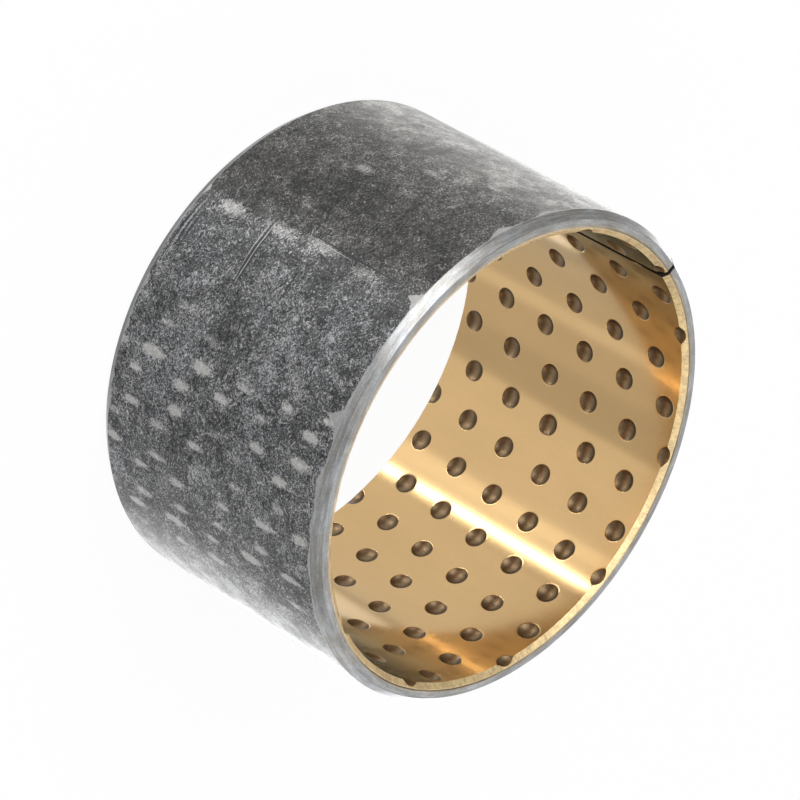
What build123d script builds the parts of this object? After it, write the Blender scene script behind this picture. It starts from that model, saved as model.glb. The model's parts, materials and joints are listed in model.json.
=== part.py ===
from build123d import *
from math import atan, ceil, cos, degrees, floor, pi, sin
import os

os.makedirs("parts", exist_ok=True)

# Wrapped plain bushing: a bimetal strip rolled into a ring, with its ends butted at a seam.
# Sizes are in millimetres. The bushing stands on one end, its axis is Z and the seam faces +X.

# Ring: the strip is rolled round its bore, so its two layers set the outer diameter
bore_diameter = 55.0
steel_thickness = 1.8
lining_thickness = 0.7
length = 36.0

# Chamfers: the outer one is turned in the steel. The inner one is turned in the bronze, and
# leaves a thin land of it on the end face.
outer_chamfer_axial = 1.15
outer_chamfer_radial = 0.75
inner_chamfer_axial = 0.55
inner_chamfer_land = 0.05

# Seam: the strip's sheared ends butt more closely outside than at the bore
seam_gap_at_bore = 0.65
seam_gap_outside = 0.55

# Lubrication pockets: rows of ball dimples round the bore, each row stepped from the one above.
# Each is a shallow six-sided cup, as wide, deep and steep as the ball's dimple.
pocket_diameter = 2.6
pocket_floor_diameter = 1.2
pocket_depth = 0.5
pocket_sides = 6
pocket_pitch = 16.15
row_pitch = 2.22
row_step = 5.61
first_row_from_end = 0.1
first_pocket_from_seam = 10.35

# How far a cutter starts outside what it cuts
seam_overcut = 1.0
pocket_overcut = 0.2

# Worked out from the sizes above
bore_radius = bore_diameter / 2
bond_radius = bore_radius + lining_thickness
outer_radius = bond_radius + steel_thickness
outer_diameter = 2 * outer_radius
inner_chamfer_radial = lining_thickness - inner_chamfer_land
strip_length = 2 * pi * bore_radius
pocket_radius = pocket_diameter / 2
pocket_slope = (pocket_diameter - pocket_floor_diameter) / 2 / pocket_depth


def seam_section():
    """The gap between the strip's ends, seen along the axis."""
    half_widening = (seam_gap_outside - seam_gap_at_bore) / 2 / (outer_radius - bore_radius)
    inside = bore_radius - seam_overcut
    half_inside = seam_gap_at_bore / 2 - half_widening * seam_overcut
    outside = outer_radius + seam_overcut
    half_outside = seam_gap_outside / 2 + half_widening * seam_overcut
    with BuildSketch() as section:
        Polygon(
            (inside, -half_inside),
            (outside, -half_outside),
            (outside, half_outside),
            (inside, half_inside),
            align=None,
        )
    return section.sketch


def pocket_places():
    """Each pocket on the strip, as (distance from the seam along the bore, height)."""
    places = []
    row_count = ceil((length - first_row_from_end + pocket_radius) / row_pitch)
    for row in range(row_count):
        height = length - first_row_from_end - row * row_pitch
        offset = first_pocket_from_seam - row * row_step + pocket_radius
        start = offset - pocket_pitch * floor(offset / pocket_pitch) - pocket_radius
        column_count = ceil((strip_length + pocket_radius - start) / pocket_pitch)
        places += [(start + column * pocket_pitch, height) for column in range(column_count)]
    return places


def pocket_plane(distance, height):
    """Where a pocket's mouth touches the bore, facing outwards. The strip runs clockwise."""
    angle = -distance / bore_radius
    outward = Vector(cos(angle), sin(angle), 0)
    mouth = outward * bore_radius + Vector(0, 0, height)
    return Plane(origin=mouth, x_dir=(0, 0, 1), z_dir=outward)


def pocket_cutters(places, far_side):
    """The cutters for one half of the strip, which stop at the seam.

    The strip is cut from dimpled stock, so a pocket on its end is cut through there and leaves
    no mark on the other end, which lies on far_side of the seam.
    """
    with BuildPart() as cutters:
        with Locations(*[pocket_plane(distance, height) for distance, height in places]):
            add(pocket_punch.part)
        with Locations((0, 0, length / 2)):
            Box(
                outer_diameter,
                outer_diameter,
                2 * length,
                align=(Align.MIN, far_side, Align.CENTER),
                mode=Mode.SUBTRACT,
            )
    return cutters.part


# Steel backing
with BuildPart() as steel_backing:
    with BuildSketch(Plane.XZ):
        Polygon(
            (bond_radius, 0),
            (outer_radius - outer_chamfer_radial, 0),
            (outer_radius, outer_chamfer_axial),
            (outer_radius, length - outer_chamfer_axial),
            (outer_radius - outer_chamfer_radial, length),
            (bond_radius, length),
            align=None,
        )
    revolve(axis=Axis.Z)
    add(seam_section())
    extrude(amount=length, mode=Mode.SUBTRACT)

# Pocket punch, with its mouth at Z = 0 and a corner at each end along the axis
mouth_radius = pocket_radius * 2 / (1 + cos(pi / pocket_sides))

with BuildPart() as pocket_punch:
    with BuildSketch(Plane.XY.offset(-pocket_overcut)):
        RegularPolygon(mouth_radius + pocket_slope * pocket_overcut, pocket_sides)
    extrude(
        amount=pocket_depth + pocket_overcut,
        taper=degrees(atan(pocket_slope * cos(pi / pocket_sides))),
    )

places = pocket_places()
first_half = [place for place in places if place[0] < strip_length / 2]
second_half = [place for place in places if place[0] >= strip_length / 2]

# Bronze lining
with BuildPart() as bronze_lining:
    with BuildSketch(Plane.XZ):
        Polygon(
            (bore_radius, inner_chamfer_axial),
            (bore_radius + inner_chamfer_radial, 0),
            (bond_radius, 0),
            (bond_radius, length),
            (bore_radius + inner_chamfer_radial, length),
            (bore_radius, length - inner_chamfer_axial),
            align=None,
        )
    revolve(axis=Axis.Z)
    add(pocket_cutters(first_half, Align.MIN), mode=Mode.SUBTRACT)
    add(pocket_cutters(second_half, Align.MAX), mode=Mode.SUBTRACT)
    add(seam_section())
    extrude(amount=length, mode=Mode.SUBTRACT)

steel_backing.part.label = "steel_backing"
bronze_lining.part.label = "bronze_lining"
export_step(steel_backing.part, "parts/steel_backing.step")
export_step(bronze_lining.part, "parts/bronze_lining.step")
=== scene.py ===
import json
from math import atan2, cos, pi, radians, sin

import bpy
import numpy as np
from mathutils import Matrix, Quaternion, Vector, noise
from mathutils.geometry import delaunay_2d_cdt


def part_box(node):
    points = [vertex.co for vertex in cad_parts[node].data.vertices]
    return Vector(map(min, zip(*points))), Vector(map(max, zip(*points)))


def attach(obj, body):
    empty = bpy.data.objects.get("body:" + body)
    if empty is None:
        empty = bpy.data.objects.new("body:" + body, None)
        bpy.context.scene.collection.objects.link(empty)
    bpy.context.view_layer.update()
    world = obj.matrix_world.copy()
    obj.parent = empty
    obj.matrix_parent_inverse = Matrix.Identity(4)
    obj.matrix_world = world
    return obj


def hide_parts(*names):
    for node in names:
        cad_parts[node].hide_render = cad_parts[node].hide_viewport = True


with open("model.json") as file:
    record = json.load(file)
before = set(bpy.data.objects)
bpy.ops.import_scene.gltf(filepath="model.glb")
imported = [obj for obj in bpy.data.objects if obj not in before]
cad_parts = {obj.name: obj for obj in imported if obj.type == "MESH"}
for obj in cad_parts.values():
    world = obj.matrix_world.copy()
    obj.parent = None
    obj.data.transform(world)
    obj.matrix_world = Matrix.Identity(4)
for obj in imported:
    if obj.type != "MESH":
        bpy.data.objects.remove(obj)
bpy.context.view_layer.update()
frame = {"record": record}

# A wrapped bimetal bushing: its steel backing and its bronze lining, each as one detailed mesh.
# Sizes are in millimetres until a mesh is made. The strip is described flat first: "across" runs
# along the bore from the seam, clockwise seen from above, and "up" is the height.
MM = 0.001

# The zones of each layer, which are also the places of their materials
ROLLED = 0
CUT = 1
SHEARED = 2

# Sizes: the frame gives all but the lining's thickness
mounts = {mount["name"]: mount for mount in frame["record"]["mounts"]}
bore_radius = mounts["bore"]["dims"]["r_mm"]
outer_radius = mounts["outside"]["dims"]["r_mm"]
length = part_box("steel_backing")[1].z / MM
lining_thickness = 0.7
bond_radius = bore_radius + lining_thickness

# Chamfers
inner_chamfer_axial = (length - mounts["bore"]["dims"]["length_mm"]) / 2
inner_chamfer_land = 0.05
inner_chamfer_radial = lining_thickness - inner_chamfer_land
outer_chamfer_axial = (length - mounts["outside"]["dims"]["length_mm"]) / 2
outer_chamfer_radial = 0.75

# Seam
seam_gap_at_bore = 0.65
seam_gap_outside = 0.55
strip_start = seam_gap_at_bore / 2
strip_end = 2 * pi * bore_radius - strip_start

# Grease pockets: ball dimples in rows, each row stepped from the one above
pocket_radius = 1.3
pocket_depth = 0.5
pocket_pitch = 16.15
row_pitch = 2.22
row_step = 5.61
first_row_from_end = 0.1
first_pocket_from_seam = 10.35
ball_radius = (pocket_radius**2 + pocket_depth**2) / (2 * pocket_depth)
rim_rounding = 0.03
rim_reach = pocket_radius * 1.35

# How closely two lengths on the strip have to agree to be the same
tolerance = 1e-4
join_distance = 1e-6

# Camera: where it looks from, round the ring's axis, and how it is rolled
camera_azimuth = radians(105.1)
camera_elevation = radians(37.43)
camera_distance = 491.25
camera_aim = (-0.43, 0.09, 17.74)
camera_roll = radians(120)
camera_lens = 193.63


def outward(azimuth, elevation=0.0):
    """The unit vector that points to an azimuth from +X and an elevation, both in radians."""
    return Vector(
        (cos(azimuth) * cos(elevation), sin(azimuth) * cos(elevation), sin(elevation))
    )


def pocket_places():
    """Each pocket on the strip, as (across, up)."""
    places = []
    strip_length = 2 * pi * bore_radius
    for row in range(int((length - first_row_from_end + pocket_radius) / row_pitch) + 1):
        up = length - first_row_from_end - row * row_pitch
        offset = (first_pocket_from_seam - row * row_step + pocket_radius) % pocket_pitch
        across = offset - pocket_radius
        while across < strip_length + pocket_radius:
            places.append((across, up))
            across += pocket_pitch
    return places


def seam_half_gap(radius):
    """Half the seam's width at a radius."""
    share = (radius - bore_radius) / (outer_radius - bore_radius)
    return (seam_gap_at_bore + share * (seam_gap_outside - seam_gap_at_bore)) / 2


def strip_angle(across, radius):
    """The azimuth of points of the strip, once it is rolled with its gap at the seam."""
    half = seam_half_gap(radius) / radius
    share = (across - strip_start) / (strip_end - strip_start)
    return -(half + share * (2 * pi - 2 * half))


def rolled(across, up, radius):
    """Points of the flat strip at a radius, rolled round the axis."""
    angle = strip_angle(across, radius)
    return np.column_stack([radius * np.cos(angle), radius * np.sin(angle), up])


def wavering(pitch, seed):
    """A function of the distance along the strip: smooth noise with features a pitch long."""
    margin = 1.0
    station_count = 2400
    stations = np.linspace(-margin, 2 * pi * bore_radius + margin, station_count)
    values = [noise.noise(Vector((station / pitch, seed, 0.5))) for station in stations]
    return lambda across: np.interp(across, stations, values)


# Hand-worked edges: how the inner chamfer's cut and the bond line wander, and by how much
chamfer_wander = wavering(0.5, 3.0)
chamfer_wander_depth = 0.04
chamfer_drift = wavering(6.0, 4.0)
chamfer_drift_depth = 0.03
chamfer_lift = 0.05
bond_wander = wavering(0.7, 5.0)
bond_wander_depth = 0.035


def bond_radius_at(across):
    """The radius of the line where the bronze meets the steel."""
    return bond_radius + bond_wander_depth * bond_wander(across)


def make_object(name, points, faces, zones, materials, normals, marks):
    """A mesh object from points in mm, with a material for each face's zone, its own normal at
    each face corner and named values at each point."""
    mesh = bpy.data.meshes.new(name)
    mesh.from_pydata((points * MM).tolist(), [], faces)
    for material in materials:
        mesh.materials.append(material)
    mesh.polygons.foreach_set("material_index", np.array(zones, np.int32))
    mesh.polygons.foreach_set("use_smooth", np.ones(len(faces), bool))
    for mark, values in marks.items():
        if values.ndim == 2:
            attribute = mesh.attributes.new(mark, "FLOAT_VECTOR", "POINT")
            attribute.data.foreach_set("vector", values.astype(np.float32).ravel())
        else:
            attribute = mesh.attributes.new(mark, "FLOAT", "POINT")
            attribute.data.foreach_set("value", values.astype(np.float32))
    mesh.update()
    mesh.normals_split_custom_set(normals.tolist())
    piece = bpy.data.objects.new(name, mesh)
    bpy.context.scene.collection.objects.link(piece)
    return piece


# Bronze lining


def pocket_depth_at(across, up):
    """How deep the pockets are pressed at points of the strip, with their rims rounded."""
    depth = np.zeros(len(across))
    for place_across, place_up in pocket_places():
        beside = abs(across - place_across) < rim_reach
        near = np.nonzero(beside & (abs(up - place_up) < rim_reach))[0]
        squared = (across[near] - place_across) ** 2 + (up[near] - place_up) ** 2
        inside = squared < rim_reach**2
        near = near[inside]
        ball = np.sqrt(ball_radius**2 - squared[inside]) - (ball_radius - pocket_depth)
        rounded = (ball + np.sqrt(ball**2 + rim_rounding**2)) / 2
        depth[near] = np.maximum(depth[near], rounded)
    return depth


def chamfer_depth_at(across, up):
    """How deep the inner chamfers cut at points of the strip. It is negative between them."""
    from_end = np.minimum(up, length - up)
    slope = inner_chamfer_radial / inner_chamfer_axial
    wander = chamfer_wander_depth * chamfer_wander(across)
    drift = chamfer_drift_depth * chamfer_drift(across)
    return (inner_chamfer_axial - from_end) * slope + wander + drift - chamfer_lift


def crease_heights(across):
    """The heights where the lower and the upper chamfer meet the bore or a pocket."""
    halvings = 30
    found = []
    for end, inward in ((0.0, 1.0), (length, -1.0)):
        near = np.zeros(len(across))
        far = np.full(len(across), inner_chamfer_axial * 1.5)
        for _ in range(halvings):
            middle = (near + far) / 2
            up = end + inward * middle
            cut = chamfer_depth_at(across, up) > pocket_depth_at(across, up)
            near = np.where(cut, middle, near)
            far = np.where(cut, far, middle)
        found.append(end + inward * (near + far) / 2)
    return found


# Rings of points round each pocket's middle, as (radius, count), closest at its rim
pocket_rings = (
    (0.0, 1), (0.35, 10), (0.68, 18), (0.95, 28), (1.13, 34), (1.22, 38), (1.27, 38),
    (1.31, 38), (1.36, 38), (1.46, 34), (1.68, 26),
)


def lining_points():
    """The points of the bore's sheet, on the flat strip, and the edges along its creases."""
    column_step = 0.32
    columns = int((strip_end - strip_start) / column_step)
    across = np.linspace(strip_start, strip_end, columns + 1)
    creases = crease_heights(across)
    rows = 5
    points = []
    edges = []
    for crease, end in zip(creases, (0.0, length)):
        for row in range(rows + 1):
            share = row / rows
            first = len(points)
            points += list(zip(across, crease * (1 - share) + end * share))
            if row in (0, rows):
                edges += [(first + k, first + k + 1) for k in range(columns)]
    clear = 0.12

    def inside(x, y):
        """Whether a point is in the sheet and clear of its edges and creases."""
        if not strip_start + clear < x < strip_end - clear:
            return False
        low, high = (np.interp(x, across, crease) for crease in creases)
        return low + clear < y < high - clear

    for place_across, place_up in pocket_places():
        for number, (radius, count) in enumerate(pocket_rings):
            for k in range(count):
                turn = 2 * pi * (k + 0.5 * (number % 2)) / count
                x = place_across + radius * cos(turn)
                y = place_up + radius * sin(turn)
                if inside(x, y):
                    points.append((x, y))
    grid = 1.1
    clear_of_pockets = 1.95
    places = np.array(pocket_places())
    for i in range(int((strip_end - strip_start) / grid) + 1):
        for j in range(int(length / grid) + 1):
            x = strip_start + (i + 0.5 * (j % 2)) * grid
            y = j * grid
            away = np.min((places[:, 0] - x) ** 2 + (places[:, 1] - y) ** 2)
            if away > clear_of_pockets**2 and inside(x, y):
                points.append((x, y))
    side_step = 0.5
    for side in (0, columns):
        first = len(points)
        low, high = creases[0][side], creases[1][side]
        heights = np.linspace(low, high, int(length / side_step))[1:-1]
        points += [(across[side], y) for y in heights]
        chain = [side]
        chain += list(range(first, first + len(heights)))
        chain += [(rows + 1) * (columns + 1) + side]
        edges += list(zip(chain[:-1], chain[1:]))
    return points, edges


def sheet_depth(across, up):
    """How far outside the bore's radius points of the sheet lie."""
    chamfer = np.maximum(chamfer_depth_at(across, up), 0.0)
    return np.maximum(pocket_depth_at(across, up), chamfer)


def slope_normals(across, up, depth_at):
    """Unit normals of the rolled sheet, towards the axis, from small steps on the strip."""
    step = 0.01
    right = rolled(across + step, up, bore_radius + depth_at(across + step, up))
    left = rolled(across - step, up, bore_radius + depth_at(across - step, up))
    above = rolled(across, up + step, bore_radius + depth_at(across, up + step))
    below = rolled(across, up - step, bore_radius + depth_at(across, up - step))
    crossed = np.cross(right - left, above - below)
    return crossed / np.linalg.norm(crossed, axis=1)[:, None]


def face_normals(points, faces):
    """Unit normals of flat faces."""
    corners = np.array([points[list(face[:3])] for face in faces])
    crossed = np.cross(corners[:, 1] - corners[:, 0], corners[:, 2] - corners[:, 0])
    return crossed / np.maximum(np.linalg.norm(crossed, axis=1), 1e-12)[:, None]


def boundary_loop(across, up):
    """The sheet's boundary points in order, counter-clockwise on the strip."""
    sides = (
        (np.nonzero(up < tolerance)[0], across, 1),
        (np.nonzero(across > strip_end - tolerance)[0], up, 1),
        (np.nonzero(up > length - tolerance)[0], across, -1),
        (np.nonzero(across < strip_start + tolerance)[0], up, -1),
    )
    loop = []
    for found, key, direction in sides:
        ordered = found[np.argsort(direction * key[found])]
        loop += [index for index in ordered if not loop or index != loop[-1]]
    return loop[:-1] if loop[0] == loop[-1] else loop


def triangulated(flat, edges):
    """A sheet of triangles on the strip, as its points' places across and up, and its faces."""
    made = delaunay_2d_cdt([Vector(point) for point in flat], edges, [], 0, join_distance)
    across, up = np.array([tuple(point) for point in made[0]]).T
    return across, up, [tuple(face) for face in made[2]]


def bronze_lining(materials):
    """The lining: a fine sheet for the bore, its bonded side, and the walls between them."""
    across, up, inner_faces = triangulated(*lining_points())
    depth = sheet_depth(across, up)
    inner = rolled(across, up, bore_radius + depth)
    loop = boundary_loop(across, up)

    # The bonded side: the same boundary, with a coarse grid inside it
    bond_columns = 180
    bond_rows = 6
    grid = [
        (strip_start + (strip_end - strip_start) * i / bond_columns, length * j / bond_rows)
        for i in range(1, bond_columns)
        for j in range(1, bond_rows)
    ]
    rim = [(across[index], up[index]) for index in loop]
    rim_edges = [(k, (k + 1) % len(rim)) for k in range(len(rim))]
    bond_across, bond_up, bond_faces = triangulated(rim + grid, rim_edges)
    outer = rolled(bond_across, bond_up, bond_radius_at(bond_across))
    first = len(inner)
    outer_faces = [tuple(first + index for index in reversed(face)) for face in bond_faces]

    # The walls on the end faces are cut like the chamfers, and those at the seam are sheared
    walls = []
    wall_zones = []
    for k, index in enumerate(loop):
        next_rim = (k + 1) % len(loop)
        following = loop[next_rim]
        walls.append((following, index, first + k, first + next_rim))
        wall_zones.append(SHEARED if abs(across[index] - across[following]) < tolerance else CUT)

    points = np.vstack([inner, outer])
    faces = inner_faces + outer_faces + walls
    centres = np.array([[across[list(f)].mean(), up[list(f)].mean()] for f in inner_faces])
    chamfered = chamfer_depth_at(*centres.T) > pocket_depth_at(*centres.T)
    inner_zones = [CUT if cut else ROLLED for cut in chamfered]
    zones = inner_zones + [ROLLED] * len(outer_faces) + wall_zones

    bore_normals = slope_normals(across, up, pocket_depth_at)
    chamfer_normals = slope_normals(across, up, chamfer_depth_at)
    corners = np.array(inner_faces).ravel()
    cut = np.repeat(chamfered, 3)
    sheet = np.where(cut[:, None], chamfer_normals[corners], bore_normals[corners])
    rest = faces[len(inner_faces):]
    flat_normals = face_normals(points, rest)
    counts = [len(face) for face in rest]
    normals = np.vstack([sheet, np.repeat(flat_normals, counts, axis=0)])

    strip = np.zeros((len(points), 3))
    strip[:first, 0] = across
    strip[:first, 1] = up
    strip[first:, 0] = bond_across
    strip[first:, 1] = bond_up
    strip[:first, 2] = depth
    pressed = np.concatenate([pocket_depth_at(across, up) / pocket_depth, np.zeros(len(outer))])
    marks = {"strip": strip, "pressed": pressed}
    return make_object("bronze_lining_detailed", points, faces, zones, materials, normals, marks)


# Steel backing


def backing_profile():
    """The backing's section: its corners as (radius, up, rounding), and the side after each as
    (zone, step). It starts at the lower end of the bond and goes round outside it."""
    corners = [
        (bond_radius, 0.0, 0.0),
        (outer_radius - outer_chamfer_radial, 0.0, 0.08),
        (outer_radius, outer_chamfer_axial, 0.15),
        (outer_radius, length - outer_chamfer_axial, 0.15),
        (outer_radius - outer_chamfer_radial, length, 0.08),
        (bond_radius, length, 0.0),
    ]
    end = (CUT, 0.25)
    chamfer = (CUT, 0.3)
    sides = [end, chamfer, (ROLLED, 0.5), chamfer, end, (SHEARED, 6.0)]
    return corners, sides


def turn_between(before, after):
    """The angle from one direction to the next, counter-clockwise."""
    return atan2(before[0] * after[1] - before[1] * after[0], float(before @ after))


def rounded_profile(corners, sides):
    """The section's points, their normals and the zone that follows each, with its corners
    rounded."""
    arc_steps = 4
    count = len(corners)
    places = [np.array(corner[:2]) for corner in corners]
    runs = [places[(k + 1) % count] - places[k] for k in range(count)]
    forwards = [run / np.linalg.norm(run) for run in runs]
    turns = [turn_between(forwards[k - 1], forwards[k]) for k in range(count)]
    insets = [corner[2] * abs(np.tan(turn / 2)) for corner, turn in zip(corners, turns)]
    points = []
    normals = []
    zones = []
    for k in range(count):
        zone, side_step = sides[k]
        backward = forwards[k - 1]
        old_normal = np.array([backward[1], -backward[0]])
        rounding = corners[k][2]
        if rounding > 0:
            centre = places[k] - backward * insets[k] - old_normal * rounding
            for step in range(arc_steps):
                angle = turns[k] * step / arc_steps
                spun = np.array(
                    [
                        old_normal[0] * cos(angle) - old_normal[1] * sin(angle),
                        old_normal[0] * sin(angle) + old_normal[1] * cos(angle),
                    ]
                )
                points.append(centre + spun * rounding)
                normals.append(spun)
                zones.append(CUT if zone == CUT else sides[k - 1][0])
        forward = forwards[k]
        start = places[k] + forward * insets[k]
        run = np.linalg.norm(runs[k]) - insets[k] - insets[(k + 1) % count]
        steps = max(1, round(run / side_step))
        for step in range(steps):
            points.append(start + forward * run * step / steps)
            normals.append(np.array([forward[1], -forward[0]]))
            zones.append(zone)
    return np.array(points), np.array(normals), zones


def azimuth_at(across):
    """The azimuth from +X of points of the strip, in degrees from 0 to 360."""
    return (-np.degrees(across / bore_radius)) % 360


def plateau(values, low, high, soft):
    """1 from low to high, falling smoothly to 0 over a soft distance outside them."""
    outside = np.maximum(np.maximum(low - values, values - high), 0.0)
    return np.exp(-((outside / soft) ** 2))


# Larger rubbed marks, four along the line where the outside is bent and three in the smoother
# place beside it, as (azimuth, height, half length, half width, strength)
smooth_marks = (
    (88.3, 6.1, 2.2, 0.9, 0.55),
    (87.3, 13.4, 2.6, 0.8, 0.45),
    (86.2, 19.5, 2.8, 0.9, 0.4),
    (86.8, 26.9, 2.2, 0.8, 0.36),
    (64.0, 14.5, 1.4, 0.7, 0.5),
    (55.0, 20.5, 1.4, 0.5, 0.45),
    (49.0, 27.0, 1.5, 0.5, 0.45),
)

# Where the ring bore hardest on the rolls, as azimuths (from, to, softness)
hard_rolled_place = (121.0, 160.0, 9.0)


def rub_marks(across, up):
    """How far the patina is rubbed away over the back of each pocket: two light marks, one each
    side of it, which are strongest where the ring bore hardest on the rolls. Each has a blunt
    lower end and a longer upper one."""
    rubbed = np.zeros(len(across))
    beside = 1.6
    below = 0.4
    half_width = 0.5
    half_length = 1.75
    rng = np.random.default_rng(7)
    for place_across, place_up in pocket_places():
        for side in (-1, 1):
            x = place_across + side * beside + rng.normal(0.3, 0.2)
            y = place_up - below + rng.normal(0, 0.3)
            hardest = plateau(azimuth_at(x), *hard_rolled_place)
            strength = rng.uniform(0.35, 1.5) * (0.1 + 0.9 * hardest)
            half_long = half_length * rng.uniform(0.6, 1.1)
            half_wide = half_width * rng.uniform(0.75, 1.15)
            along = (up - y) / half_long
            along = np.where(along < 0, along * 1.6, along * 0.85)
            away = ((across - x) / half_wide) ** 2 + along**2
            rubbed = np.maximum(rubbed, strength * np.exp(-(away**1.1)))
    for azimuth, height, half_long, half_wide, strength in smooth_marks:
        x = radians(360 - azimuth) * bore_radius
        away = ((across - x) / half_wide) ** 2 + ((up - height) / half_long) ** 2
        rubbed = np.maximum(rubbed, strength * np.exp(-(away**1.6)))
    return rubbed


# How far bare metal reaches in from the chamfers, as (azimuth, reach) along each edge
bare_above = (
    (0, 0.3), (20, 0.2), (44, 0.1), (48, 0.7), (52, 0.0), (58, 0.1), (61, 0.9), (65, 0.1),
    (82, 0.0), (84.5, 0.1), (86.4, 1.7), (87.4, 0.6), (89, 0.2), (91, 0.0), (104, 0.2), (111, 0.35),
    (113.5, 0.4), (115.8, 2.2), (117, 0.8), (120.5, 0.1), (126, 0.1), (129, 0.7), (133, 0.35),
    (136, 0.1), (139.5, 0.45), (142, 0.1), (149, 0.5), (153, 0.1), (163, 0.4), (170, 0.2),
    (220, 0.3), (233, 0.9), (240, 0.1), (290, 0.5), (310, 0.1), (340, 0.6), (360, 0.3),
)
bare_below = (
    (0, 0.1), (60, 0.0), (85, 0.0), (87, 0.45), (89, 0.0), (108, 0.0), (111, 0.6), (113, 0.05),
    (119, 0.0), (121, 0.5), (124, 0.0), (131, 0.0), (132.5, 0.35), (135, 0.0), (139, 0.4),
    (142, 0.0), (200, 0.1), (215, 0.6), (230, 0.0), (300, 0.5), (330, 0.0), (360, 0.1),
)


def bare_reach(across, up):
    """How far inside the bare metal along the chamfers a point lies, in mm, negative outside."""
    azimuth = azimuth_at(across)
    above = np.interp(azimuth, *zip(*bare_above)) - (length - outer_chamfer_axial - up)
    below = np.interp(azimuth, *zip(*bare_below)) - (up - outer_chamfer_axial)
    return np.maximum(above, below)


# Where the outside is smoother, as azimuths (from, to, softness)
smoother_place = (20.0, 80.0, 8.0)

# Painted light on the outside by azimuth, as (azimuth, share): painted sheen towards both edges
# seen edge-on from the camera, and painted shade from 72 to 92 degrees, where the strip lamp's
# reflection falls
painted_light_places = (
    (0, 0.7), (8, 0.8), (28, 1.0), (36, 1.2), (45, 0.95), (54, 0.3), (62, 0.0), (72, -0.35),
    (92, -0.35), (102, 0.0), (160, 0.0), (168, 0.5), (174, 1.0), (184, 1.2), (194, 0.8),
    (220, 0.4), (300, 0.4), (360, 0.7),
)


def steel_backing(materials):
    """The backing: its section swept round the axis from one side of the seam to the other."""
    profile, profile_normals, profile_zones = rounded_profile(*backing_profile())
    columns = 720
    count = len(profile)
    across = np.linspace(strip_start, strip_end, columns + 1)
    all_across = np.repeat(across, count)
    radius = np.tile(profile[:, 0], columns + 1)
    radius = np.where(radius < bond_radius + tolerance, bond_radius_at(all_across), radius)
    up = np.tile(profile[:, 1], columns + 1)
    points = rolled(all_across, up, radius)
    angle = strip_angle(all_across, radius)
    radial = np.tile(profile_normals[:, 0], columns + 1)
    axial = np.tile(profile_normals[:, 1], columns + 1)
    point_normals = np.column_stack([radial * np.cos(angle), radial * np.sin(angle), axial])
    faces = []
    zones = []
    for i in range(columns):
        for j in range(count):
            k = (j + 1) % count
            here, there = i * count, (i + 1) * count
            faces.append((here + j, here + k, there + k, there + j))
            zones.append(profile_zones[j])
    side_normals = point_normals[np.array(faces).ravel()]
    last = columns * count
    caps = [tuple(range(count - 1, -1, -1)), tuple(last + j for j in range(count))]
    zones += [SHEARED, SHEARED]
    half = strip_angle(np.array([strip_start, strip_end]), outer_radius)
    cap_normals = [
        (sin(-half[0]), cos(half[0]), 0.0),
        (sin(half[1]), -cos(half[1]), 0.0),
    ]
    normals = np.vstack([side_normals] + [np.tile(n, (count, 1)) for n in cap_normals])
    strip = np.column_stack([all_across * outer_radius / bore_radius, up, radius])
    azimuth = azimuth_at(all_across)
    marks = {
        "strip": strip,
        "rubbed": rub_marks(all_across, up),
        "bare": bare_reach(all_across, up),
        "smooth": plateau(azimuth, *smoother_place),
        # painted sheen and painted shade by azimuth, kept at each point
        "pale": np.interp(azimuth, *zip(*painted_light_places)),
    }
    return make_object(
        "steel_backing_detailed", points, faces + caps, zones, materials, normals, marks
    )


# Materials


def add(tree, kind, inputs=(), **settings):
    """A shader node with its settings, and its inputs as values or as sockets to link."""
    node = tree.nodes.new("ShaderNode" + kind)
    for name, value in settings.items():
        setattr(node, name, value)
    for socket, value in dict(inputs).items():
        if isinstance(value, bpy.types.NodeSocket):
            tree.links.new(value, node.inputs[socket])
        else:
            node.inputs[socket].default_value = value
    return node


def calc(tree, operation, first, second=0.0, clamp=False):
    """Two values put together by an operation."""
    node = add(tree, "Math", {0: first, 1: second}, operation=operation, use_clamp=clamp)
    return node.outputs[0]


def vector_calc(tree, operation, first, second):
    """Two vectors put together by an operation."""
    return add(tree, "VectorMath", {0: first, 1: second}, operation=operation).outputs[0]


def spread(tree, value, low, high, to_low=0.0, to_high=1.0):
    """A value, taken smoothly from low..high to to_low..to_high."""
    inputs = {
        "Value": value,
        "From Min": low,
        "From Max": high,
        "To Min": to_low,
        "To Max": to_high,
    }
    return add(tree, "MapRange", inputs, interpolation_type="SMOOTHSTEP").outputs[0]


def blend(tree, factor, first, second):
    """The first value where the factor is 0, and the second where it is 1."""
    return add(tree, "Mix", {0: factor, 2: first, 3: second}).outputs[0]


def blend_colours(tree, factor, first, second):
    """The first colour where the factor is 0, and the second where it is 1."""
    node = add(tree, "Mix", {0: factor, 6: first, 7: second}, data_type="RGBA")
    return node.outputs[2]


def mark(tree, name):
    """A value that the mesh holds at each of its points."""
    return add(tree, "Attribute", attribute_name=name).outputs["Fac"]


def strip_coordinates(tree, scale=(1.0, 1.0, 1.0)):
    """Places on the flat strip in mm, stretched by a scale."""
    strip = add(tree, "Attribute", attribute_name="strip").outputs["Vector"]
    return add(tree, "Mapping", {"Vector": strip, "Scale": scale}).outputs[0]


def cloud(tree, vector, size, detail=4.0, roughness=0.55, distortion=0.0):
    """Noise with features of a size, about 0.5."""
    inputs = {
        "Vector": vector,
        "Scale": 1 / size,
        "Detail": detail,
        "Roughness": roughness,
        "Distortion": distortion,
    }
    return add(tree, "TexNoise", inputs).outputs[0]


def cloud_colour(tree, vector, size):
    """Three noises at once, from -0.5 to 0.5."""
    inputs = {"Vector": vector, "Scale": 1 / size, "Detail": 2.0}
    noises = add(tree, "TexNoise", inputs).outputs[1]
    return vector_calc(tree, "SUBTRACT", noises, (0.5, 0.5, 0.5))


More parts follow.
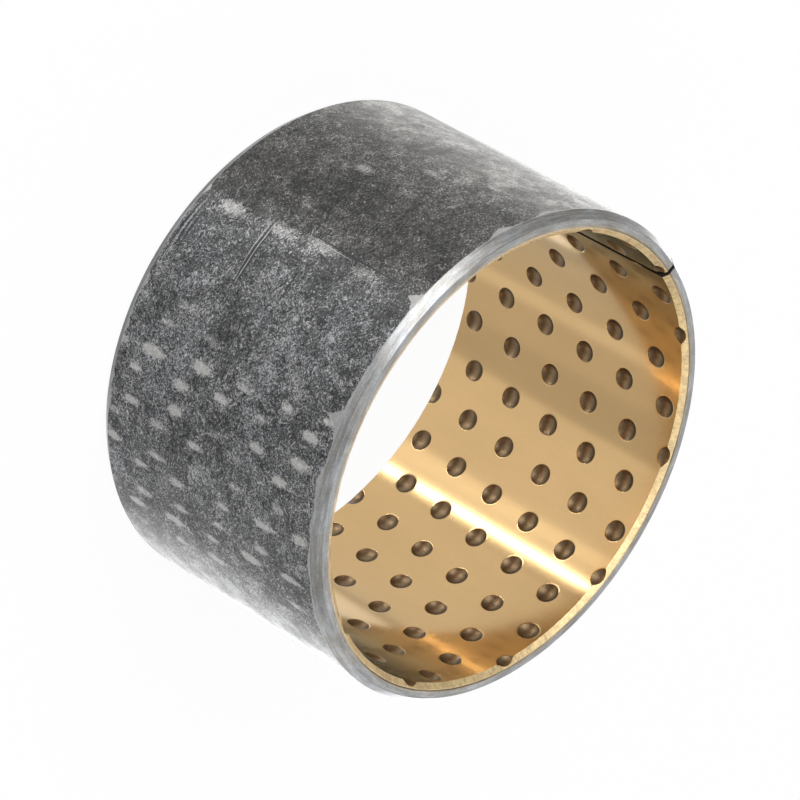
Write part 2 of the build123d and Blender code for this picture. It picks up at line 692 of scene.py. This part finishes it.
def new_material(name):
    """A material, its node tree and its shader."""
    material = bpy.data.materials.new(name)
    material.use_nodes = True
    tree = material.node_tree
    return material, tree, tree.nodes["Principled BSDF"]


def link(tree, value, surface, socket):
    """Lead a value into one of the shader's sockets."""
    tree.links.new(value, surface.inputs[socket])


def raise_bumps(tree, surface, height, strength, distance):
    """Roughen the surface by a height, over a distance in mm."""
    inputs = {"Height": height, "Strength": strength, "Distance": distance * MM}
    link(tree, add(tree, "Bump", inputs).outputs[0], surface, "Normal")


def grey(level, warmth=0.0):
    """A grey of that level, a little warm or, below zero, a little blue."""
    return (level * (1 + warmth), level, level * (1 - warmth), 1.0)


def power_of_two(tree, exponent, scale):
    """scale * 2 ** exponent: noise as an exponent makes light and dark marks alike."""
    return calc(tree, "MULTIPLY", calc(tree, "POWER", 2.0, exponent), scale)


def tinted(tree, level, tint):
    """A grey level as a colour with a tint."""
    return vector_calc(tree, "MULTIPLY", level, tint)


def centred(tree, value, gain):
    """Noise about its middle, times a gain."""
    return calc(tree, "MULTIPLY", calc(tree, "SUBTRACT", value, 0.5), gain)


def total(tree, *values):
    """The sum of values."""
    result = values[0]
    for value in values[1:]:
        result = calc(tree, "ADD", result, value)
    return result


def scratch(tree, strip, start, end, half_width):
    """A mask of a scratch between two places, each an (azimuth, height) on the outside."""
    first, last = (
        Vector((radians(360 - azimuth) * outer_radius, height, 0))
        for azimuth, height in (start, end)
    )
    along = last - first
    from_first = vector_calc(tree, "SUBTRACT", strip, first)
    run = add(tree, "VectorMath", {0: from_first, 1: along}, operation="DOT_PRODUCT").outputs[1]
    share = calc(tree, "DIVIDE", run, along.length_squared, clamp=True)
    scaled = {0: tuple(along), "Scale": share}
    nearest = add(tree, "VectorMath", scaled, operation="SCALE").outputs[0]
    gap = vector_calc(tree, "SUBTRACT", from_first, nearest)
    away = add(tree, "VectorMath", {0: gap}, operation="LENGTH").outputs[1]
    taper = calc(tree, "PINGPONG", share, 0.5)
    width = total(tree, calc(tree, "MULTIPLY", taper, half_width * 2.5), half_width * 0.3)
    return calc(tree, "SUBTRACT", 1.0, calc(tree, "DIVIDE", away, width), clamp=True)


# Scratches on the outside, as (start, end, half width, whether it is dark)
scratches = (
    ((86.6, 12.1), (101.5, 12.58), 0.08, False),
    ((86.0, 11.5), (98.0, 11.95), 0.07, False),
    ((88.0, 2.05), (104.0, 1.9), 0.06, False),
    ((118.8, 17.35), (121.2, 17.35), 0.08, False),
    ((85.4, 17.0), (85.7, 24.0), 0.05, False),
    ((85.0, 11.82), (103.4, 12.4), 0.2, True),
    ((88.4, 12.4), (102.6, 12.82), 0.17, True),
    ((92.0, 19.15), (101.2, 19.3), 0.14, True),
    ((86.5, 1.75), (106.0, 1.5), 0.13, True),
    ((90.0, 2.35), (103.0, 2.25), 0.13, True),
    ((89.5, 2.9), (104.5, 2.85), 0.12, True),
    ((104.8, 12.3), (107.4, 12.35), 0.13, True),
    ((104.9, 12.75), (107.2, 12.77), 0.11, True),
    ((112.0, 19.1), (114.2, 19.1), 0.14, True),
    ((118.5, 16.9), (121.8, 16.95), 0.14, True),
    ((122.0, 16.2), (124.8, 16.25), 0.12, True),
    ((84.7, 15.0), (85.2, 32.0), 0.14, True),
    ((91.3, 15.6), (91.2, 19.5), 0.13, True),
)


def rolled_steel():
    """The outside: dark patina, finely mottled, with light rubbed marks and scratches, and with
    painted sheen and painted shade by azimuth.
    """
    material, tree, surface = new_material("rolled_steel")
    strip = strip_coordinates(tree)
    rubbed = mark(tree, "rubbed")
    bare = mark(tree, "bare")
    smooth = mark(tree, "smooth")
    pale = mark(tree, "pale")
    squiggles = cloud(tree, strip, 0.68, 3.0, 0.8, 2.6)
    grain = cloud(tree, strip, 0.26, 1.0, 0.5, 1.5)
    patches = cloud(tree, strip, 2.4, 3.0, 0.6, 0.5)
    drifts = cloud(tree, strip, 9.0, 3.0, 0.55, 0.8)

    in_smooth = spread(tree, smooth, 0.0, 1.0, 1.0, 0.85)
    # Painted sheen near the edges seen from the camera makes the outside paler and less mottled
    # there
    in_painted_light = spread(tree, pale, 0.0, 1.0, 1.0, 0.4)
    contrast = calc(tree, "MULTIPLY", in_smooth, in_painted_light)
    fine = total(tree, centred(tree, squiggles, 16.0), centred(tree, grain, 5.5))
    mottle = total(
        tree,
        calc(tree, "MULTIPLY", fine, contrast),
        centred(tree, patches, 5.0),
        centred(tree, drifts, 3.0),
        calc(tree, "MULTIPLY", smooth, -0.55),
        # painted sheen and painted shade by azimuth
        calc(tree, "MULTIPLY", pale, 1.5),
    )
    level = calc(tree, "MINIMUM", power_of_two(tree, mottle, 0.088), 0.4)

    # Light marks: rubbed places keep some of the grain, bare metal along the edges is flat
    frayed = total(tree, rubbed, calc(tree, "MULTIPLY", fine, 0.06))
    rub = spread(tree, frayed, 0.05, 0.8)
    light = power_of_two(tree, calc(tree, "MULTIPLY", fine, 0.17), 0.4)
    level = blend(tree, rub, level, light)
    ragged = total(tree, bare, centred(tree, cloud(tree, strip, 0.5, 3.0, 0.6), 0.5))
    worn = spread(tree, ragged, -0.03, 0.05)
    plain = power_of_two(tree, centred(tree, cloud(tree, strip, 0.8, 4.0, 0.7), 1.4), 0.32)
    level = blend(tree, worn, level, plain)

    # Scratches, drawn on a strip whose places stray a little so that they aren't straight
    bent = vector_calc(tree, "MULTIPLY", cloud_colour(tree, strip, 2.5), (0.12, 0.3, 0))
    strayed = vector_calc(tree, "ADD", strip, bent)
    flat = vector_calc(tree, "MULTIPLY", strayed, (1, 1, 0))
    flat = vector_calc(tree, "ADD", flat, (-0.06, -0.15, 0))
    depth = 0.0
    for start, end, half_width, dark in scratches:
        mask = scratch(tree, flat, start, end, half_width)
        depth = total(tree, mask, depth)
        aim = 0.02 if dark else 0.4
        share = spread(tree, mask, 0.0, 0.6, 0.0, 0.9)
        level = blend(tree, share, level, aim)

    # Tints: bluish in the dark, warmer on bare and rubbed metal
    drifting = spread(tree, drifts, 0.35, 0.65)
    cool = blend_colours(tree, drifting, (1.0, 1, 0.99, 1), (0.985, 1, 1.03, 1))
    tint = blend_colours(tree, spread(tree, level, 0.05, 0.25), (0.97, 1, 1.04, 1), cool)
    tint = blend_colours(tree, smooth, tint, (1.03, 1, 0.94, 1))
    tint = blend_colours(tree, calc(tree, "MAXIMUM", rub, worn), tint, (1.02, 1, 0.97, 1))
    link(tree, tinted(tree, level, tint), surface, "Base Color")
    link(tree, spread(tree, level, 0.05, 0.4, 0.44, 0.36), surface, "Roughness")
    surface.inputs["Metallic"].default_value = 0.6
    surface.inputs["Coat Weight"].default_value = 0.2
    surface.inputs["Coat Roughness"].default_value = 0.25
    height = total(tree, calc(tree, "MULTIPLY", fine, 0.25), calc(tree, "MULTIPLY", depth, -1.5))
    raise_bumps(tree, surface, height, 0.5, 0.02)
    return material


def turned_steel():
    """The chamfers and end faces: turned, with fine concentric lines and a little tarnish, and
    with bronze smeared on them beside the lining."""
    material, tree, surface = new_material("turned_steel")
    lines = cloud(tree, strip_coordinates(tree, (0.12, 7.0, 7.0)), 1.0, 4.0, 0.7)
    streaks = cloud(tree, strip_coordinates(tree, (0.35, 2.2, 2.2)), 1.0, 5.0, 0.7, 0.4)
    strip = strip_coordinates(tree)
    tarnish = cloud(tree, strip, 3.5, 4.0, 0.6, 0.6)
    grain = cloud(tree, strip, 0.2, 3.0, 0.6)
    change = total(
        tree,
        centred(tree, lines, 1.8),
        centred(tree, streaks, 2.2),
        centred(tree, tarnish, 1.2),
        centred(tree, grain, 1.0),
    )
    level = calc(tree, "MINIMUM", power_of_two(tree, change, 0.47), 0.85)
    tarnished = spread(tree, tarnish, 0.35, 0.65)
    tint = blend_colours(tree, tarnished, (1.03, 1.0, 0.95, 1), (0.97, 1.0, 1.03, 1))
    radius = add(tree, "SeparateXYZ", {0: strip}).outputs["Z"]
    ragged = total(tree, radius, centred(tree, grain, 0.3))
    smeared = spread(tree, ragged, bond_radius - 0.05, bond_radius + 0.6, 0.75, 0.0)
    tint = blend_colours(tree, smeared, tint, (1.2, 0.92, 0.55, 1))
    link(tree, tinted(tree, level, tint), surface, "Base Color")
    link(tree, spread(tree, lines, 0.3, 0.7, 0.28, 0.42), surface, "Roughness")
    surface.inputs["Metallic"].default_value = 0.9
    raise_bumps(tree, surface, total(tree, lines, grain), 0.3, 0.02)
    return material


def cut_metal(name, dark, light):
    """The sheared ends of a layer at the seam, painted nearly black as painted shade in the narrow
    seam, and its hidden bonded side.
    """
    material, tree, surface = new_material(name)
    grain = cloud(tree, strip_coordinates(tree), 0.5, 4.0, 0.7)
    link(tree, blend_colours(tree, grain, dark, light), surface, "Base Color")
    surface.inputs["Metallic"].default_value = 0.2
    surface.inputs["Roughness"].default_value = 0.85
    return material


def satin_bronze():
    """The bore: rolled satin bronze, dark with old grease in its pockets."""
    material, tree, surface = new_material("satin_bronze")
    pressed = mark(tree, "pressed")
    strip = strip_coordinates(tree)
    shine = cloud(tree, strip_coordinates(tree, (1.0, 0.3, 1.0)), 4.0, 4.0, 0.6)
    speckle = cloud(tree, strip, 0.35, 3.0, 0.6)
    change = total(tree, centred(tree, shine, 0.25), centred(tree, speckle, 0.16))
    bright = tinted(tree, power_of_two(tree, change, 1.0), (0.6, 0.402, 0.19))
    stain = centred(tree, cloud(tree, strip, 0.7, 4.0, 0.6), 1.2)
    greasy = tinted(tree, power_of_two(tree, stain, 1.0), (0.25, 0.172, 0.098))
    in_pocket = spread(tree, pressed, 0.0, 0.1)
    link(tree, blend_colours(tree, in_pocket, bright, greasy), surface, "Base Color")
    link(tree, spread(tree, in_pocket, 0.0, 1.0, 0.14, 0.4), surface, "Roughness")
    surface.inputs["Metallic"].default_value = 0.92
    surface.inputs["Specular Tint"].default_value = (0.64, 0.8, 0.93, 1)
    raise_bumps(tree, surface, speckle, 0.05, 0.01)
    return material


def scraped_bronze():
    """The inner chamfers: rough bright bronze, torn by the tool."""
    material, tree, surface = new_material("scraped_bronze")
    tears = cloud(tree, strip_coordinates(tree, (2.2, 1.2, 1.2)), 0.9, 5.0, 0.75, 0.8)
    stain = cloud(tree, strip_coordinates(tree), 2.0, 4.0, 0.6)
    change = total(tree, centred(tree, tears, 2.6), centred(tree, stain, 1.5))
    level = calc(tree, "MINIMUM", power_of_two(tree, change, 0.85), 1.0)
    link(tree, tinted(tree, level, (1.06, 0.8, 0.43)), surface, "Base Color")
    surface.inputs["Metallic"].default_value = 0.75
    surface.inputs["Roughness"].default_value = 0.42
    raise_bumps(tree, surface, tears, 0.5, 0.06)
    return material


# Studio


def make_camera():
    """The photograph's view."""
    data = bpy.data.cameras.new("camera")
    data.lens = camera_lens
    data.sensor_width = 36
    data.clip_start = 0.02
    data.clip_end = 20
    camera = bpy.data.objects.new("camera", data)
    back = outward(camera_azimuth, camera_elevation)
    camera.location = (Vector(camera_aim) + back * camera_distance) * MM
    camera.rotation_mode = "QUATERNION"
    level = (-back).to_track_quat("-Z", "Y")
    camera.rotation_quaternion = level @ Quaternion((0, 0, 1), camera_roll)
    bpy.context.scene.collection.objects.link(camera)
    bpy.context.scene.camera = camera


def make_lamp(name, azimuth, elevation, distance, wide, tall, brightness):
    """A soft box that faces the ring, seen from it at an azimuth from +X and an elevation."""
    data = bpy.data.lights.new(name, "AREA")
    data.shape = "RECTANGLE"
    data.size = wide
    data.size_y = tall
    data.energy = brightness * pi * wide * tall
    lamp = bpy.data.objects.new(name, data)
    centre = Vector((0, 0, length / 2 * MM))
    back = outward(radians(azimuth), radians(elevation))
    lamp.location = centre + back * distance
    lamp.rotation_mode = "QUATERNION"
    lamp.rotation_quaternion = (-back).to_track_quat("-Z", "Y")
    lamp.visible_camera = False
    bpy.context.scene.collection.objects.link(lamp)


# Lamps, as (name, azimuth, elevation, distance, width, height, brightness). The strip and the
# glow beside it make the bright streak in the bore.
lamps = (
    ("strip", 70.4, -25, 1.2, 0.055, 1.6, 12.0),
    ("glow", 79, -25, 1.25, 0.32, 1.6, 0.55),
    ("key", 66, 26, 1.2, 0.85, 0.45, 3.0),
    ("top", 75, 60, 1.2, 1.2, 0.7, 2.2),
    ("high_left", 188, 45, 1.2, 1.2, 0.8, 0.9),
    ("low_left", 228, 2, 1.2, 1.0, 0.5, 0.7),
    ("front", 108, -38, 1.2, 1.0, 0.7, 0.38),
    ("right", 28, -38, 1.2, 1.2, 0.7, 0.3),
    ("left", 190, -38, 1.2, 1.1, 0.7, 0.1),
    ("glint", 185, -38, 1.2, 0.14, 0.7, 0.3),
    ("far_left", 250, -38, 1.2, 0.65, 0.7, 1.2),
    ("far", 285, -15, 1.2, 1.1, 1.1, 2.5),
    ("far_right", 325, -38, 1.2, 0.8, 0.7, 0.7),
    ("far_top", 285, 40, 1.2, 0.6, 0.5, 0.65),
)


def make_world():
    """White where the camera sees it. In reflections it is pale in a band below the horizon."""
    world = bpy.data.worlds.new("studio")
    world.use_nodes = True
    tree = world.node_tree
    background = tree.nodes["Background"]
    rays = add(tree, "LightPath")
    direction = add(tree, "TexCoord").outputs["Generated"]
    rise = add(tree, "SeparateXYZ", {0: direction}).outputs["Z"]
    from_below = spread(tree, rise, -0.92, -0.75)
    to_horizon = spread(tree, rise, -0.4, -0.05, 1.0, 0.0)
    band = calc(tree, "MULTIPLY", from_below, to_horizon)
    mirrored = spread(tree, band, 0.0, 1.0, 0.28, 0.7)
    soft = 0.5
    level = blend(tree, rays.outputs["Is Glossy Ray"], soft, mirrored)
    level = blend(tree, rays.outputs["Is Camera Ray"], level, 1.0)
    background.inputs["Color"].default_value = (1, 1, 1, 1)
    tree.links.new(level, background.inputs["Strength"])
    bpy.context.scene.world = world


def make_floor():
    """A white floor, which is nearly all glow where the camera sees it."""
    half = 3.0
    mesh = bpy.data.meshes.new("floor")
    corners = [(-half, -half, 0), (half, -half, 0), (half, half, 0), (-half, half, 0)]
    mesh.from_pydata(corners, [], [(0, 1, 2, 3)])
    floor = bpy.data.objects.new("floor", mesh)
    material, tree, surface = new_material("pale_floor")
    paper = cloud(tree, add(tree, "TexCoord").outputs["Object"], 0.01)
    shade = blend_colours(tree, paper, (0.9, 0.9, 0.9, 1), (0.93, 0.93, 0.93, 1))
    link(tree, shade, surface, "Base Color")
    surface.inputs["Roughness"].default_value = 0.9
    surface.inputs["Specular IOR Level"].default_value = 0.0
    glow = add(tree, "Emission", {"Color": (1, 1, 1, 1), "Strength": 1.0})
    glow_share = 0.95
    camera_ray = add(tree, "LightPath").outputs["Is Camera Ray"]
    share = calc(tree, "MULTIPLY", camera_ray, glow_share)
    mixed = add(tree, "MixShader", {0: share, 1: surface.outputs[0], 2: glow.outputs[0]})
    tree.links.new(mixed.outputs[0], tree.nodes["Material Output"].inputs["Surface"])
    mesh.materials.append(material)
    floor.visible_shadow = False
    floor.visible_glossy = False
    bpy.context.scene.collection.objects.link(floor)


def main():
    """Build the studio and the bushing."""
    bpy.context.scene.view_settings.view_transform = "Standard"
    make_camera()
    make_world()
    make_floor()
    for lamp in lamps:
        make_lamp(*lamp)

    lining = bronze_lining(
        [
            satin_bronze(),
            scraped_bronze(),
            # painted shade: the sheared bronze faces in the seam are nearly black
            cut_metal("cut_bronze", (0.012, 0.009, 0.006, 1), (0.04, 0.028, 0.016, 1)),
        ]
    )
    backing = steel_backing(
        # painted shade: the sheared steel faces in the seam are nearly black
        [rolled_steel(), turned_steel(), cut_metal("cut_steel", grey(0.008), grey(0.025))]
    )
    for piece, node, slot in (
        (lining, "bronze_lining", "bronze"),
        (backing, "steel_backing", "steel"),
    ):
        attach(piece, "root")
        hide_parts(node)


main()
